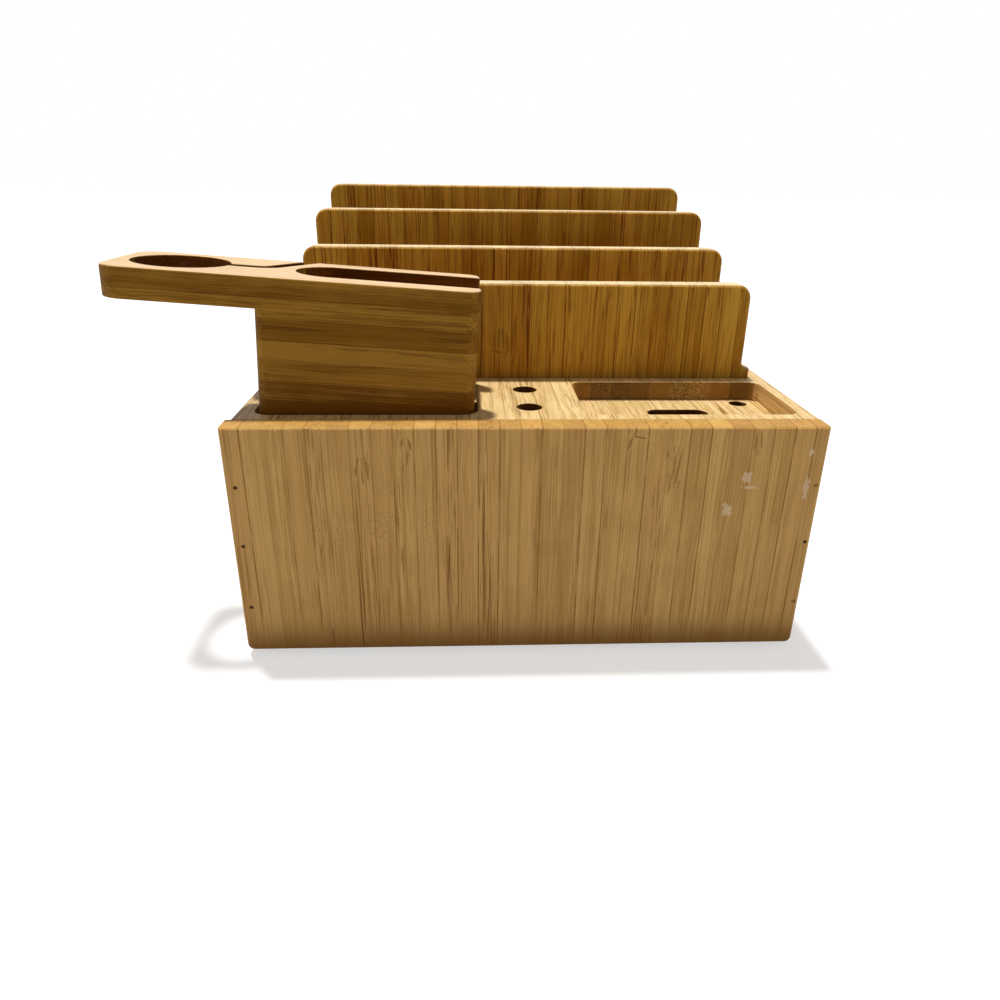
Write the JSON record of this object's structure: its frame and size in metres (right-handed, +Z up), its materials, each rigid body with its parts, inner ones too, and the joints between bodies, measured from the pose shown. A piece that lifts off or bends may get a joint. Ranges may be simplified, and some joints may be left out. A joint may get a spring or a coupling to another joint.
{
  "type": "charging station organizer",
  "caption": "Bamboo box that hides a charger, with lift-out dividers for phones and tablets, a tray, pen holes and a stand for a watch and an earphone case.",
  "frame": {"origin": "on the table, under the middle of the whole part, arm included; the middle of the box itself is 20.36 mm to the right of it", "axes": "+Z up, +X to the user's right along the front board, +Y away from the user"},
  "size_m": [0.2496, 0.22, 0.1628],
  "materials": {
    "bamboo_board": "satin oiled bamboo",
    "bamboo_front": "satin oiled bamboo, narrow upright strips",
    "bamboo_panel": "satin oiled bamboo, strips running front to back",
    "bamboo_divider": "satin oiled bamboo",
    "bamboo_stand": "satin oiled laminated bamboo",
    "steel": "plain wire nail",
    "dowel_wood": "plain turned dowel",
    "foot_rubber": "matte"
  },
  "bodies": {
    "box": {"front_board": "bamboo_front", "back_board": "bamboo_board", "left_side_board": "bamboo_board", "right_side_board": "bamboo_board", "bottom_board": "bamboo_board", "top_panel": "bamboo_panel", "front_left_brads": "steel", "front_right_brads": "steel", "back_left_brads": "steel", "back_right_brads": "steel", "bottom_brads": "steel", "left_dowels": "dowel_wood", "right_dowels": "dowel_wood", "front_left_foot": "foot_rubber", "front_right_foot": "foot_rubber", "back_left_foot": "foot_rubber", "back_right_foot": "foot_rubber"},
    "divider_1": {"divider_1": "bamboo_divider"},
    "divider_2": {"divider_2": "bamboo_divider"},
    "divider_3": {"divider_3": "bamboo_divider"},
    "divider_4": {"divider_4": "bamboo_divider"},
    "watch_stand": {"watch_stand": "bamboo_stand"}
  },
  "joints": [
    {"name": "divider_1_lift", "type": "slide", "parent": "box", "child": "divider_1", "axis": [0, 0, 1], "range_m": [0, 0.03]},
    {"name": "divider_2_lift", "type": "slide", "parent": "box", "child": "divider_2", "axis": [0, 0, 1], "range_m": [0, 0.03]},
    {"name": "divider_3_lift", "type": "slide", "parent": "box", "child": "divider_3", "axis": [0, 0, 1], "range_m": [0, 0.03]},
    {"name": "divider_4_lift", "type": "slide", "parent": "box", "child": "divider_4", "axis": [0, 0, 1], "range_m": [0, 0.03]},
    {"name": "watch_stand_lift", "type": "slide", "parent": "box", "child": "watch_stand", "axis": [0, 0, 1], "range_m": [0, 0.03]}
  ]
}
